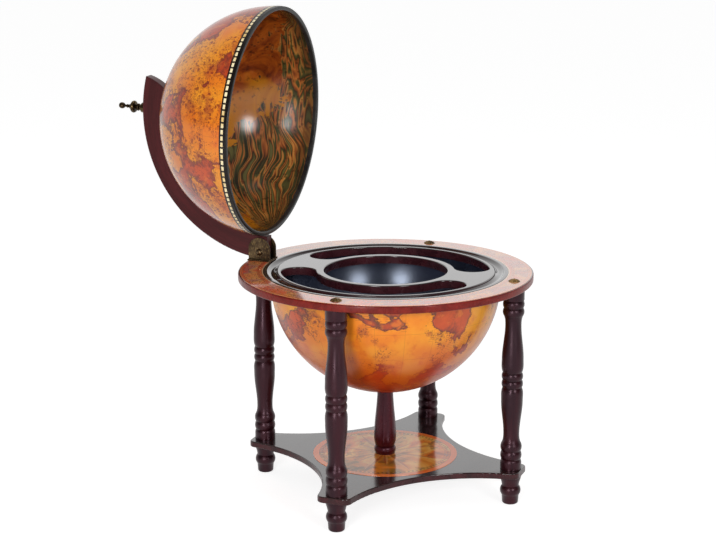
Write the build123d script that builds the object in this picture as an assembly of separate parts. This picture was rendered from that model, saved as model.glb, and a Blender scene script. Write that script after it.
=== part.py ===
from build123d import *
import os
from math import asin, atan2, cos, degrees, hypot, radians, sin, sqrt

# Tabletop globe bar: the upper half of a globe swings up on a wooden meridian arm
# and shows a drinks tray set in the horizon ring of a four-legged turned stand.
# Millimetres. +Z is up, the origin lies on the table under the middle of the stand,
# and +Y points to the hinge. The globe is modelled open.

# ---------------------------------------------------------------- driving sizes
# globe
globe_radius = 165.0
shell_wall = 4.0
lining_wall = 0.8

# stand heights, from the table up
foot_height = 43.0
shelf_thickness = 9.0
leg_height = 263.5
ring_thickness = 10.5
print_thickness = 0.4

# horizon ring
ring_overhang = 46.0          # from the globe out to the rim of the ring
ring_edge_round = 2.0
bead_width = 7.0              # low round bead between the print and the groove
bead_height = 1.0
groove_inside = 8.5           # the groove runs from this far inside the globe surface
groove_outside = 3.5          # to this far outside it
groove_depth = 2.5
lip_width = 3.0               # the tray hangs on this lip of the ring's bore
lip_thickness = 4.0
print_margin = 0.5            # flat wood left between the print and the ring's rounded rim
globe_tongue = 3.0            # the lower globe's edge is let this far into the ring

# tray
tray_gap = 0.5
tray_rise = 1.0               # tray top above the ring's top
tray_edge_round = 2.0
tray_rim_flat = 2.5           # between the rounded edges of the tray and of a slot
well_radius = 88.5            # round hole over the ice bowl
slot_web = 10.5               # wood between the well and the two curved bottle slots
slot_end_angle = 25.8         # from the hinge line to the middle of a slot's round end
slot_edge_round = 1.5

# legs and feet
leg_inset = 19.7              # leg axis inside the ring's rim
leg_block_radius = 15.0
leg_top_block = 16.0
leg_bottom_block = 14.5
leg_block_shoulder = 5.0      # rounded top of the bottom block
bead_radius = 15.2
bead_length = 11.0            # along the leg
low_bead_length = 12.4        # of the lowest pair
bead_groove_radius = 13.6
vase_flare = 0.5              # slope of a vase's side where it leaves the beads
belly_radius = 15.4
belly_from_bead = 19.5
waist_radius = 11.4
waist_from_bead = 13.5
foot_pad_radius = 11.3
foot_pad_height = 13.0
foot_pad_round = 3.2          # of its bottom edge
foot_ball_radius = 14.8
foot_ball_length = 14.0
foot_neck_radius = 12.2
foot_top_radius = 15.4

# shelf
shelf_arm_half_width = 23.0
shelf_waist = 117.0           # from the middle to the edge, halfway between two legs
shelf_corner_round = 11.0
shelf_inset = 2.5             # ends of the shelf's arms inside the ring's rim
shelf_edge_round = 1.5
shelf_print_radius = 105.0

# column between shelf and globe
column_top_radius = 11.4
column_belly_radius = 16.1
column_belly_height = 25.0    # above the column's foot
column_bead_radius = 15.8
column_bead_length = 9.4
column_neck_radius = 13.2
column_foot_radius = 14.3
column_foot_length = 1.6
column_flare = 0.5            # slope of the side where it leaves the bead

# hinge
hinge_from_leg = 1.2          # hinge axis beyond the leg axis
hinge_height = 13.0           # hinge axis above the ring's top
bracket_width = 34.3          # along Y
bracket_rise = 34.0           # ears above the print
bracket_sheet = 2.0
bracket_reach = 5.0           # of the base plate beyond each ear
bracket_play = 0.3            # each side of the arm
knuckle_clearance = 0.4       # arm end above the bracket's plate
opening_angle = 87.5          # from shut to open

# meridian arm
arm_thickness = 18.5
arm_width = 34.0
arm_shift = 5.0               # arm arc's middle away from the hinge, so it clears the ring
arm_past_pole = 12.0          # degrees
arm_end_back = 9.7            # inner corner of the end cut, behind its outer corner
arm_end_bulge = 2.5           # the end cut is a bow this deep
arm_edge_round = 1.6

# rim of the upper globe
rim_gap = 2.0                 # shut rim above the groove's floor
rim_height = 4.4              # dark band outside
rim_lip_height = 18.0         # dark lip inside
rim_lip_wall = 2.0
band_width = 6.8              # dashed band above the rim
band_thickness = 0.3

# fasteners
bolt_radius = 3.0
bolt_head_radius = 6.0
bolt_head_height = 3.5
bolt_sink = 6.0               # depth of the counterbores in the ring
bolt_in_leg = 40.0
stud_in_foot = 26.0
stud_in_leg = 34.0
cap_radius = 8.8
cap_rise = 4.0
cap_spigot = 2.0
washer_radius = 9.0
washer_thickness = 1.5
screw_radius = 2.0
screw_head_radius = 3.8
screw_length = 8.0
column_bolt_depth = 30.0
hinge_head_radius = 5.2
hinge_head_height = 2.6
fit_clearance = 0.1           # round every bolt
turning_clearance = 0.1       # round the hinge bolt and the pole rod
facing_clearance = 0.3        # between faces that turn on each other

# pole and finial, the finial's heights taken from the arm's outer edge
pole_spacer_radius = 11.0
stud_radius = 1.8             # thin end of the pole rod, inside the finial
stud_length = 18.0
finial_collar_radius = 7.4
finial_collar_height = 5.8
finial_collar_round = 1.2
finial_beads = [              # neck radius below, crown radius, height of the middle, half height
    (3.0, 5.5, 11.2, 1.9),
    (3.0, 9.0, 18.8, 3.4),
    (1.75, 2.75, 29.2, 1.6),
    (1.9, 4.6, 38.4, 4.3),
]
finial_tip_radius = 0.8
finial_height = 43.4

# ---------------------------------------------------------------- worked-out places
shelf_top = foot_height + shelf_thickness
ring_under = shelf_top + leg_height
ring_top = ring_under + ring_thickness
print_top = ring_top + print_thickness
tray_top = ring_top + tray_rise
groove_floor = ring_top - groove_depth
ring_radius = globe_radius + ring_overhang
ring_bore = globe_radius - groove_inside
groove_radius = globe_radius + groove_outside
bead_outer = groove_radius + bead_width
tray_radius = ring_bore - tray_gap
slot_inner_radius = well_radius + slot_web
slot_outer_radius = tray_radius - tray_edge_round - tray_rim_flat - slot_edge_round
leg_circle = ring_radius - leg_inset
inner_radius = globe_radius - shell_wall
bowl_bottom = ring_under - inner_radius
column_foot = shelf_top + print_thickness

leg_places = {"left": (-1, 0), "front": (0, -1), "right": (1, 0), "back": (0, 1)}

hinge_y = leg_circle + hinge_from_leg
hinge_z = ring_top + hinge_height
hinge_axis = Axis((0, hinge_y, hinge_z), (1, 0, 0))
plate_top = print_top + bracket_sheet
shut_rim = groove_floor + rim_gap          # height of the globe's middle when shut
knuckle_radius = hinge_z - plate_top - knuckle_clearance
arm_middle = (-arm_shift, shut_rim)        # (y, z) of the arm arc's middle, shut
arm_outer = hypot(hinge_y - arm_middle[0], hinge_z - arm_middle[1]) + knuckle_radius
arm_inner = arm_outer - arm_width
arm_in_at_pole = shut_rim + sqrt(arm_inner**2 - arm_shift**2)
arm_out_at_pole = shut_rim + sqrt(arm_outer**2 - arm_shift**2)

on_base = (Align.CENTER, Align.CENTER, Align.MIN)
parts = {}


# ---------------------------------------------------------------- helpers
def revolved(profile):
    """A body of revolution about Z from a closed outline in (radius, height)."""
    return revolve(make_face(Plane.XZ * profile), Axis.Z)


def outline(points):
    """A closed outline of straight runs."""
    return Polyline(*points, close=True)


def rod(radius, low, high):
    """A plain cylinder about Z between two heights."""
    return Pos(0, 0, low) * Cylinder(radius, high - low, align=on_base)


def ball(radius, height):
    return Pos(0, 0, height) * Sphere(radius)


def cross_rod(radius, low_x, high_x):
    """A cylinder along X about the hinge axis."""
    turned = Rot(0, 90, 0) * Cylinder(radius, high_x - low_x, align=on_base)
    return Pos(low_x, hinge_y, hinge_z) * turned


def swung_open(piece):
    """Carries a piece from the shut globe to the open one."""
    return piece.rotate(hinge_axis, -opening_angle)


def at_legs(piece, places=leg_places):
    """Copies of a piece made on the Z axis, one on each leg's axis."""
    return {name: Pos(x * leg_circle, y * leg_circle, 0) * piece for name, (x, y) in places.items()}


def bead(groove, crown, low, high):
    """Half-round turning between two heights."""
    return ThreePointArc((groove, low), (crown, (low + high) / 2), (groove, high))


def arc_point(middle, radius, angle):
    """A point (y, z) on a circle, its angle in degrees from +Y towards +Z."""
    return (middle[0] + radius * cos(radians(angle)), middle[1] + radius * sin(radians(angle)))


def on_sphere(radius, height):
    """Point (radius from Z, height) of a ball's surface, the height from its middle."""
    return (sqrt(radius**2 - height**2), height)


def below_sphere(radius, reach):
    """How far a sphere drops away at a distance from its pole."""
    return radius - sqrt(radius**2 - reach**2)


# ---------------------------------------------------------------- stand
def turned_leg():
    """Leg turned with a block at each end, three pairs of beads and two vases."""
    low, high = shelf_top, ring_under
    middle = (low + high) / 2
    low_beads = low + leg_bottom_block
    top_beads = high - leg_top_block - 2 * bead_length
    mid_beads = middle - bead_length
    groove = bead_groove_radius
    shoulder = (leg_block_radius, low_beads - leg_block_shoulder)
    edges = [Line((0, low), (leg_block_radius, low)),
             Line((leg_block_radius, low), shoulder),
             TangentArc(shoulder, (groove, low_beads), tangent=(0, 1))]
    for start, long in ((low_beads, low_bead_length), (mid_beads, bead_length), (top_beads, bead_length)):
        edges += [bead(groove, bead_radius, start, start + long),
                  bead(groove, bead_radius, start + long, start + 2 * long)]
    for start, end in ((mid_beads, low_beads + 2 * low_bead_length), (mid_beads + 2 * bead_length, top_beads)):
        edges += vase(groove, start, end)
    edges += [Line((groove, high - leg_top_block), (leg_block_radius, high - leg_top_block)),
              Line((leg_block_radius, high - leg_top_block), (leg_block_radius, high)),
              Line((leg_block_radius, high), (0, high)), Line((0, high), (0, low))]
    leg = revolved(Wire(edges))
    leg -= rod(bolt_radius + fit_clearance, high - bolt_in_leg - fit_clearance, high)
    leg -= rod(bolt_radius + fit_clearance, low, low + stud_in_leg + fit_clearance)
    return leg


def vase(groove, start, end):
    """Long swelling that starts at the middle beads and ends in a waist."""
    way = 1 if end > start else -1
    belly = start + way * belly_from_bead
    waist = end - way * waist_from_bead
    along, flared = (0, way), (vase_flare, way)
    return [Spline((groove, start), (belly_radius, belly), tangents=(flared, along)),
            Spline((belly_radius, belly), (waist_radius, waist), tangents=(along, along)),
            Spline((waist_radius, waist), (groove, end), tangents=(along, flared))]


def turned_foot():
    """Foot with a plain pad, a ball and a neck that flares to the shelf."""
    ball_top = foot_pad_height + foot_ball_length
    neck, top = (foot_neck_radius, ball_top), (foot_top_radius, foot_height)
    edges = [Line((0, 0), (foot_pad_radius, 0)),
             Line((foot_pad_radius, 0), (foot_neck_radius, foot_pad_height)),
             bead(foot_neck_radius, foot_ball_radius, foot_pad_height, ball_top),
             Spline(neck, top, tangents=((0, 1), (0, 1))),
             Line(top, (0, foot_height)),
             Line((0, foot_height), (0, 0))]
    foot = revolved(Wire(edges))
    foot = fillet(foot.edges().filter_by_position(Axis.Z, 0, 0), foot_pad_round)
    return foot - rod(bolt_radius + fit_clearance, foot_height - stud_in_foot - fit_clearance, foot_height)


def shelf_outline():
    """Four arms joined by hollow arcs that run into the arms' sides."""
    # an arc tangent to both arm sides, its middle on the diagonal:
    # (radius + half width) * sqrt(2) - radius = waist
    radius = (shelf_waist - shelf_arm_half_width * sqrt(2)) / (sqrt(2) - 1)
    centre = radius + shelf_arm_half_width
    square = Rectangle(2 * (ring_radius - shelf_inset), 2 * (ring_radius - shelf_inset))
    for x, y in ((1, 1), (1, -1), (-1, 1), (-1, -1)):
        square -= Pos(x * centre, y * centre) * Circle(radius)
    return fillet(square.vertices(), shelf_corner_round)


def base_shelf():
    shelf = Pos(0, 0, foot_height) * extrude(shelf_outline(), shelf_thickness)
    for height in (foot_height, shelf_top):
        rims = shelf.edges().filter_by_position(Axis.Z, height, height)
        shelf = fillet(rims, shelf_edge_round)
    for hole in at_legs(rod(bolt_radius + fit_clearance, foot_height, shelf_top)).values():
        shelf -= hole
    shelf -= rod(bolt_radius + fit_clearance, foot_height, shelf_top)
    return shelf - rod(bolt_head_radius + fit_clearance, foot_height, foot_height + bolt_head_height)


def shelf_print():
    hole = rod(bolt_radius + fit_clearance, shelf_top, column_foot)
    return rod(shelf_print_radius, shelf_top, column_foot) - hole


def centre_column():
    """Column that widens downwards to a belly over a neck and a bead."""
    low = column_foot
    bead_low = low + column_foot_length
    bead_high = bead_low + column_bead_length
    belly = low + column_belly_height
    top = ring_under - globe_radius + below_sphere(globe_radius, column_top_radius)
    neck = (column_neck_radius, bead_high)
    widest = (column_belly_radius, belly)
    rim = (column_top_radius, top)
    edges = [Line((0, low), (column_foot_radius, low)),
             Line((column_foot_radius, low), (column_foot_radius, bead_low)),
             bead(column_foot_radius, column_bead_radius, bead_low, bead_high),
             Line((column_foot_radius, bead_high), neck),
             Spline(neck, widest, tangents=((column_flare, 1), (0, 1))),
             Spline(widest, rim, tangents=((0, 1), (0, 1))),
             Line(rim, (0, top)),
             Line((0, top), (0, low))]
    column = revolved(Wire(edges)) - ball(globe_radius, ring_under)
    column -= rod(bolt_radius + fit_clearance, low, low + column_bolt_depth + fit_clearance)
    return column - rod(bolt_radius + fit_clearance, bowl_bottom - column_bolt_depth - fit_clearance, top)


def horizon_ring():
    """Ring board with a bead round the groove that takes the shut globe's rim."""
    edge = ring_edge_round
    lip_bore = ring_bore - lip_width
    lip_top = ring_under + lip_thickness
    edges = [Line((lip_bore, ring_under), (ring_radius - edge, ring_under)),
             RadiusArc((ring_radius - edge, ring_under), (ring_radius, ring_under + edge), -edge),
             Line((ring_radius, ring_under + edge), (ring_radius, ring_top - edge)),
             RadiusArc((ring_radius, ring_top - edge), (ring_radius - edge, ring_top), -edge),
             Line((ring_radius - edge, ring_top), (bead_outer, ring_top)),
             ThreePointArc((bead_outer, ring_top), ((bead_outer + groove_radius) / 2, ring_top + bead_height),
                           (groove_radius, ring_top)),
             Line((groove_radius, ring_top), (groove_radius, groove_floor)),
             Line((groove_radius, groove_floor), (ring_bore, groove_floor)),
             Line((ring_bore, groove_floor), (ring_bore, lip_top)),
             Line((ring_bore, lip_top), (lip_bore, lip_top)),
             Line((lip_bore, lip_top), (lip_bore, ring_under))]
    ring = revolved(Wire(edges))
    tongue = revolved(outline([(inner_radius - fit_clearance, ring_under),
                               (globe_radius + fit_clearance, ring_under),
                               (globe_radius + fit_clearance, ring_under + globe_tongue),
                               (inner_radius - fit_clearance, ring_under + globe_tongue)]))
    ring -= tongue
    drilled = rod(bolt_radius + fit_clearance, ring_under, ring_top)
    drilled += rod(bolt_head_radius + fit_clearance, ring_top - bolt_sink, ring_top)
    for hole in at_legs(drilled).values():
        ring -= hole
    for hole in bracket_screw_places(rod(screw_radius, ring_under, ring_top)):
        ring -= hole
    return ring


def ring_print():
    """Printed paper ring on the board, cut out over the leg bolts and the bracket screws."""
    sheet = rod(ring_radius - ring_edge_round - print_margin, ring_top, print_top)
    sheet -= rod(bead_outer, ring_top, print_top)
    for hole in at_legs(rod(bolt_head_radius + fit_clearance, ring_top, print_top)).values():
        sheet -= hole
    for hole in bracket_screw_places(rod(screw_radius, ring_top, print_top)):
        sheet -= hole
    return sheet


def bar_tray():
    """Board with a round well, two curved slots and a shoulder that hangs on the ring's lip."""
    lip_top = ring_under + lip_thickness
    tray = rod(tray_radius, lip_top, tray_top)
    tray = fillet(tray.edges().filter_by_position(Axis.Z, tray_top, tray_top), tray_edge_round)
    tray += rod(tray_radius - lip_width, ring_under, lip_top)
    tray -= rod(well_radius, ring_under, tray_top)
    slot_middle = (slot_inner_radius + slot_outer_radius) / 2
    slot_width = slot_outer_radius - slot_inner_radius
    sweep_angle = 180 - 2 * slot_end_angle
    for side in (0, 180):
        line = CenterArc((0, 0), slot_middle, side - sweep_angle / 2, sweep_angle)
        slot = SlotArc(line, slot_width)
        tray -= Pos(0, 0, ring_under) * extrude(slot, tray_top - ring_under)
    rims = tray.edges().filter_by_position(Axis.Z, tray_top, tray_top).sort_by(SortBy.LENGTH)
    return fillet(rims[:-1], slot_edge_round)


def lower_globe():
    """Lower half globe, painted inside, its edge let into the ring."""
    arc_out = ThreePointArc((0, -globe_radius), arc_point((0, 0), globe_radius, -45), (globe_radius, 0))
    arc_in = ThreePointArc((inner_radius, 0), arc_point((0, 0), inner_radius, -45), (0, -inner_radius))
    edges = [arc_out,
             Line((globe_radius, 0), (globe_radius, globe_tongue)),
             Line((globe_radius, globe_tongue), (inner_radius, globe_tongue)),
             Line((inner_radius, globe_tongue), (inner_radius, 0)),
             arc_in,
             Line((0, -inner_radius), (0, -globe_radius))]
    shell = Pos(0, 0, ring_under) * revolved(Wire(edges))
    return shell - rod(bolt_radius + fit_clearance, shelf_top, ring_under)


# ---------------------------------------------------------------- fasteners of the stand
def round_head(radius, height, low):
    """Domed head: a slice of the ball that has this radius and rise."""
    ball_radius = (radius**2 + height**2) / (2 * height)
    return ball(ball_radius, low + height - ball_radius) & rod(radius, low, low + height)


def washer(low):
    high = low + washer_thickness
    return rod(washer_radius, low, high) - rod(bolt_radius + fit_clearance, low, high)


def ring_bolt():
    seat = ring_top - bolt_sink
    head = rod(bolt_head_radius, seat, seat + bolt_head_height)
    return head + rod(bolt_radius, ring_under - bolt_in_leg, seat)


def ring_cap():
    spigot = rod(bolt_head_radius, print_top - cap_spigot, print_top)
    return round_head(cap_radius, cap_rise, print_top) + spigot


def foot_stud():
    return rod(bolt_radius, foot_height - stud_in_foot, shelf_top + stud_in_leg)


def bowl_washer():
    low = bowl_bottom + below_sphere(inner_radius, washer_radius)
    return washer(low)


def bowl_bolt():
    seat = bowl_bottom + below_sphere(inner_radius, washer_radius) + washer_thickness
    head = round_head(bolt_head_radius, bolt_head_height, seat)
    return head + rod(bolt_radius, bowl_bottom - column_bolt_depth, seat)


def column_screw():
    head = rod(bolt_head_radius, foot_height, foot_height + bolt_head_height)
    return head + rod(bolt_radius, foot_height + bolt_head_height, column_foot + column_bolt_depth)


# ---------------------------------------------------------------- hinge
def bracket_screw_places(piece):
    """The bracket's two screws, in front of and behind the leg bolt."""
    reach = (bracket_width / 2 + bolt_head_radius + fit_clearance) / 2
    return [Pos(0, leg_circle + way * reach, 0) * piece for way in (-1, 1)]


def hinge_bracket():
    """A plate on the ring and two ears with half-round tops, one each side of the arm."""
    inside = arm_thickness / 2 + bracket_play
    outside = inside + bracket_sheet
    half = bracket_width / 2
    base = Pos(0, hinge_y, print_top)
    ears = base * Box(2 * outside, bracket_width, bracket_rise - half, align=on_base)
    ears += base * Pos(0, 0, bracket_rise - half) * Rot(0, 90, 0) * Cylinder(half, 2 * outside)
    ears &= base * Box(2 * outside, bracket_width, bracket_rise, align=on_base)
    ears -= base * Box(2 * inside, bracket_width, bracket_rise, align=on_base)
    plate = Box(2 * (outside + bracket_reach), bracket_width, bracket_sheet, align=on_base)
    bracket = ears + base * plate
    bracket -= cross_rod(bolt_radius + fit_clearance, -outside, outside)
    for hole in bracket_screw_places(screw_head()):
        bracket -= hole
    return bracket


def screw_head():
    """Countersunk head, flush with the bracket's plate."""
    return Pos(0, 0, print_top) * Cone(screw_radius, screw_head_radius, bracket_sheet, align=on_base)


def bracket_screw():
    return screw_head() + rod(screw_radius, plate_top - screw_length, print_top)


def hinge_bolt():
    outside = arm_thickness / 2 + bracket_play + bracket_sheet
    head = Rot(0, -90, 0) * round_head(hinge_head_radius, hinge_head_height, 0)
    shank = cross_rod(bolt_radius, -outside, outside + hinge_head_height)
    return shank + Pos(-outside, hinge_y, hinge_z) * head


def hinge_nut():
    outside = arm_thickness / 2 + bracket_play + bracket_sheet
    dome = Rot(0, 90, 0) * round_head(hinge_head_radius, hinge_head_height + bolt_radius, 0)
    shank = cross_rod(bolt_radius, outside, outside + hinge_head_height)
    return Pos(outside, hinge_y, hinge_z) * dome - shank


# ---------------------------------------------------------------- arm, modelled shut and swung open
def meridian_arm():
    """Bow from the hinge over the pole, its knuckle rounded about the hinge bolt."""
    flat = hinge_z - knuckle_radius
    inner_start = degrees(asin((flat - arm_middle[1]) / arm_inner))
    tangent = degrees(atan2(hinge_z - arm_middle[1], hinge_y - arm_middle[0]))
    end = 90 + arm_past_pole
    foot = arc_point(arm_middle, arm_inner, inner_start)
    hinge = (hinge_y, hinge_z)
    heel = arc_point(hinge, knuckle_radius, tangent)
    tip_outside = arc_point(arm_middle, arm_outer, end)
    tip_inside = arc_point(arm_middle, arm_inner, end - degrees(arm_end_back / arm_inner))
    halfway = (arm_outer + arm_inner) / 2
    tip_middle = arc_point(arm_middle, halfway, end - degrees((arm_end_back / 2 - arm_end_bulge) / halfway))
    profile = Wire([
        Line(foot, (hinge_y, flat)),
        ThreePointArc((hinge_y, flat), arc_point(hinge, knuckle_radius, (tangent - 90) / 2), heel),
        ThreePointArc(heel, arc_point(arm_middle, arm_outer, (tangent + end) / 2), tip_outside),
        ThreePointArc(tip_outside, tip_middle, tip_inside),
        ThreePointArc(tip_inside, arc_point(arm_middle, arm_inner, (inner_start + 90) / 2), foot)])
    bow = extrude(make_face(Plane.YZ * profile), arm_thickness / 2, both=True)
    sides = [edge for edge in bow.edges() if abs(abs(edge.center().X) - arm_thickness / 2) < 1e-6]
    bow = fillet(sides, arm_edge_round)
    bow -= cross_rod(bolt_radius + turning_clearance, -arm_thickness, arm_thickness)
    return bow - rod(bolt_radius + fit_clearance, shut_rim, arm_out_at_pole + finial_collar_height)


def arm_cylinder(radius):
    """Solid drum about the arm arc's middle, for seats on the arm's inner and outer edge."""
    drum = Rot(0, 90, 0) * Cylinder(radius, 4 * arm_thickness)
    return Pos(0, arm_middle[0], arm_middle[1]) * drum


def pole_spacer():
    """Collar on the pole rod, between the arm and the turning globe."""
    collar = rod(pole_spacer_radius, shut_rim + inner_radius, arm_in_at_pole) & arm_cylinder(arm_inner)
    collar -= ball(globe_radius + facing_clearance, shut_rim)
    return collar - rod(bolt_radius + fit_clearance, shut_rim, arm_in_at_pole)


def pole_washer_top():
    """Height of the washer's upper face, clear of the curved lining."""
    lining_radius = inner_radius - lining_wall
    return shut_rim + lining_radius - below_sphere(lining_radius, washer_radius) - facing_clearance


def pole_washer():
    return washer(pole_washer_top() - washer_thickness)


def pole_nut():
    top = pole_washer_top() - washer_thickness
    height = bolt_head_height + bolt_radius
    dome = Rot(180, 0, 0) * round_head(bolt_head_radius, height, 0)
    return Pos(0, 0, top) * dome - rod(bolt_radius, top - bolt_head_height, top)


def pole_rod():
    """Rod through globe, spacer and arm, with a thin stud for the finial."""
    low = pole_washer_top() - washer_thickness - bolt_head_height
    shoulder = arm_out_at_pole - facing_clearance
    return rod(bolt_radius, low, shoulder) + rod(stud_radius, shoulder, arm_out_at_pole + stud_length)


def finial():
    """Turned brass finial: a collar hollowed to the arm, then beads and a ball on necks."""
    start = arm_out_at_pole - 2 * below_sphere(arm_outer, finial_collar_radius)
    collar = arm_out_at_pole + finial_collar_height
    turn = finial_collar_round
    necks = [row[0] for row in finial_beads] + [finial_tip_radius]
    here = (necks[0], collar)
    edges = [Line((0, start), (finial_collar_radius, start)),
             Line((finial_collar_radius, start), (finial_collar_radius, collar - turn)),
             RadiusArc((finial_collar_radius, collar - turn), (finial_collar_radius - turn, collar), -turn),
             Line((finial_collar_radius - turn, collar), here)]
    for (neck, crown, middle, half), next_neck in zip(finial_beads, necks[1:]):
        low = arm_out_at_pole + middle - half
        high = arm_out_at_pole + middle + half
        rim_low, rim_high = (max(crown - half, neck), low), (max(crown - half, next_neck), high)
        edges.append(Line(here, (neck, low)))
        if rim_low[0] > neck:
            edges.append(Line((neck, low), rim_low))
        edges.append(ThreePointArc(rim_low, (crown, (low + high) / 2), rim_high))
        here = (next_neck, high)
        if rim_high[0] > next_neck:
            edges.append(Line(rim_high, here))
    tip = arm_out_at_pole + finial_height
    edges += [Line(here, (finial_tip_radius, tip)),
              Line((finial_tip_radius, tip), (0, tip)),
              Line((0, tip), (0, start))]
    spindle = revolved(Wire(edges)) - arm_cylinder(arm_outer)
    return spindle - rod(stud_radius + fit_clearance, start, arm_out_at_pole + stud_length)


# ---------------------------------------------------------------- upper globe, modelled shut and swung open
def spherical_strip(outer, inner, low, high):
    """Part of a hollow ball between two heights above its middle."""
    middle = (low + high) / 2
    return [Line(on_sphere(inner, low), on_sphere(outer, low)),
            ThreePointArc(on_sphere(outer, low), on_sphere(outer, middle), on_sphere(outer, high)),
            Line(on_sphere(outer, high), on_sphere(inner, high)),
            ThreePointArc(on_sphere(inner, high), on_sphere(inner, middle), on_sphere(inner, low))]


def cap_shell(outer, inner, low):
    """Hollow ball from a height above its middle up to the pole."""
    angle_out = degrees(asin(low / outer))
    angle_in = degrees(asin(low / inner))
    edges = [Line(on_sphere(inner, low), on_sphere(outer, low)),
             ThreePointArc(on_sphere(outer, low), arc_point((0, 0), outer, (angle_out + 90) / 2), (0, outer)),
             Line((0, outer), (0, inner)),
             ThreePointArc((0, inner), arc_point((0, 0), inner, (angle_in + 90) / 2), on_sphere(inner, low))]
    shell = Pos(0, 0, shut_rim) * revolved(Wire(edges))
    return shell - rod(bolt_radius + turning_clearance, shut_rim, arm_in_at_pole)


def upper_shell():
    return cap_shell(globe_radius, inner_radius, rim_height)


def upper_lining():
    return cap_shell(inner_radius, inner_radius - lining_wall, rim_lip_height)


def upper_rim():
    """Dark rim: the edge of the globe outside and a deeper lip inside."""
    lip = inner_radius - rim_lip_wall
    outer_high = on_sphere(globe_radius, rim_height)
    step = on_sphere(inner_radius, rim_height)
    lip_high = on_sphere(inner_radius, rim_lip_height)
    lip_in = on_sphere(lip, rim_lip_height)
    edges = [Line((lip, 0), (globe_radius, 0)),
             ThreePointArc((globe_radius, 0), on_sphere(globe_radius, rim_height / 2), outer_high),
             Line(outer_high, step),
             ThreePointArc(step, on_sphere(inner_radius, (rim_height + rim_lip_height) / 2), lip_high),
             Line(lip_high, lip_in),
             ThreePointArc(lip_in, on_sphere(lip, rim_lip_height / 2), (lip, 0))]
    return Pos(0, 0, shut_rim) * revolved(Wire(edges))


def dash_band():
    edges = spherical_strip(globe_radius + band_thickness, globe_radius, rim_height, rim_height + band_width)
    return Pos(0, 0, shut_rim) * revolved(Wire(edges))


# ---------------------------------------------------------------- the whole bar
for name, leg in at_legs(turned_leg()).items():
    parts["leg_" + name] = leg
for name, foot in at_legs(turned_foot()).items():
    parts["foot_" + name] = foot
parts["base_shelf"] = base_shelf()
parts["shelf_print"] = shelf_print()
parts["centre_column"] = centre_column()
parts["horizon_ring"] = horizon_ring()
parts["ring_print"] = ring_print()
parts["bar_tray"] = bar_tray()
parts["lower_globe"] = lower_globe()
parts["foot_studs"] = Compound(list(at_legs(foot_stud()).values()))
parts["ring_bolts"] = Compound(list(at_legs(ring_bolt()).values()))
open_legs = {name: place for name, place in leg_places.items() if name != "back"}
parts["ring_caps"] = Compound(list(at_legs(ring_cap(), open_legs).values()))
parts["bowl_washer"] = bowl_washer()
parts["bowl_bolt"] = bowl_bolt()
parts["column_screw"] = column_screw()
parts["hinge_bracket"] = hinge_bracket()
parts["bracket_screws"] = Compound(bracket_screw_places(bracket_screw()))
parts["hinge_bolt"] = hinge_bolt()
parts["hinge_nut"] = hinge_nut()

for make in (meridian_arm, pole_spacer, pole_washer, pole_nut, pole_rod, finial,
             upper_shell, upper_lining, upper_rim, dash_band):
    parts[make.__name__] = swung_open(make())

os.makedirs("parts", exist_ok=True)
for name, piece in parts.items():
    export_step(piece, "parts/" + name + ".step")
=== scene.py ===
# %% [markdown]
# A tabletop globe bar, dressed piece by piece.
# The lower half of a globe hangs in a wooden ring on four turned legs, and holds bottles.
# The upper half swings up at the back on a bowed wooden arm with a brass finial.
# The cells below first load the measured model, then light it, then make each piece and finish.

# %% Load the measured model
import math
import bmesh
import bpy
import numpy as np
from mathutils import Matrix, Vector
from mathutils.geometry import tessellate_polygon


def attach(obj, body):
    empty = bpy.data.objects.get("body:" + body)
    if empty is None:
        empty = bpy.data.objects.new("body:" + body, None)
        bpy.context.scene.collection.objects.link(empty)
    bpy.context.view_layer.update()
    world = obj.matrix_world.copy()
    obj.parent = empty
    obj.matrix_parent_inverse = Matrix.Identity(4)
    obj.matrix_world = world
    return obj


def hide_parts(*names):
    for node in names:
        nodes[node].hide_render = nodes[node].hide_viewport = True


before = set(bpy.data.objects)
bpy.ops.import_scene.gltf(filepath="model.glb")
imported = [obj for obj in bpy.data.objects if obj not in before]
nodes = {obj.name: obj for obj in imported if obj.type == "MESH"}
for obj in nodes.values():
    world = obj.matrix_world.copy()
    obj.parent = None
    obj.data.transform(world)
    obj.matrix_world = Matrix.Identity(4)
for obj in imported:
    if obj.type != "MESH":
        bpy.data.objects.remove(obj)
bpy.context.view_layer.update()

# %% [markdown]
# A still life needs a camera before anything else, so that each piece is judged from one place.
# This one stands low at the front left and uses a long lens, which keeps the legs upright.
# Its place comes from an azimuth, an elevation and a distance round a point in the middle.

# %% Camera
camera_azimuth = math.radians(-68.85)
camera_elevation = math.radians(13.28)
camera_distance = 2.7315
camera_target = Vector((0.0, 0.04239, 0.32261))
back = Vector((math.sin(camera_azimuth) * math.cos(camera_elevation),
               -math.cos(camera_azimuth) * math.cos(camera_elevation),
               math.sin(camera_elevation)))
camera = bpy.data.objects.new("camera", bpy.data.cameras.new("camera"))
bpy.context.scene.collection.objects.link(camera)
camera.location = camera_target + back * camera_distance
camera.rotation_mode = "QUATERNION"
camera.rotation_quaternion = (-back).to_track_quat("-Z", "Y")
camera.data.sensor_width = 36.0
camera.data.lens = 95.46
camera.data.clip_end = 60.0
bpy.context.scene.camera = camera
bpy.context.scene.view_settings.view_transform = "Standard"
print("camera at", tuple(round(c, 3) for c in camera.location))

# %% [markdown]
# A node tree is easier to read as a sentence than as a list of links.
# This small class adds a node, fills its sockets by name and hands back one output.
# A value that is a socket is linked, and any other value is written on the socket itself.

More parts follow.
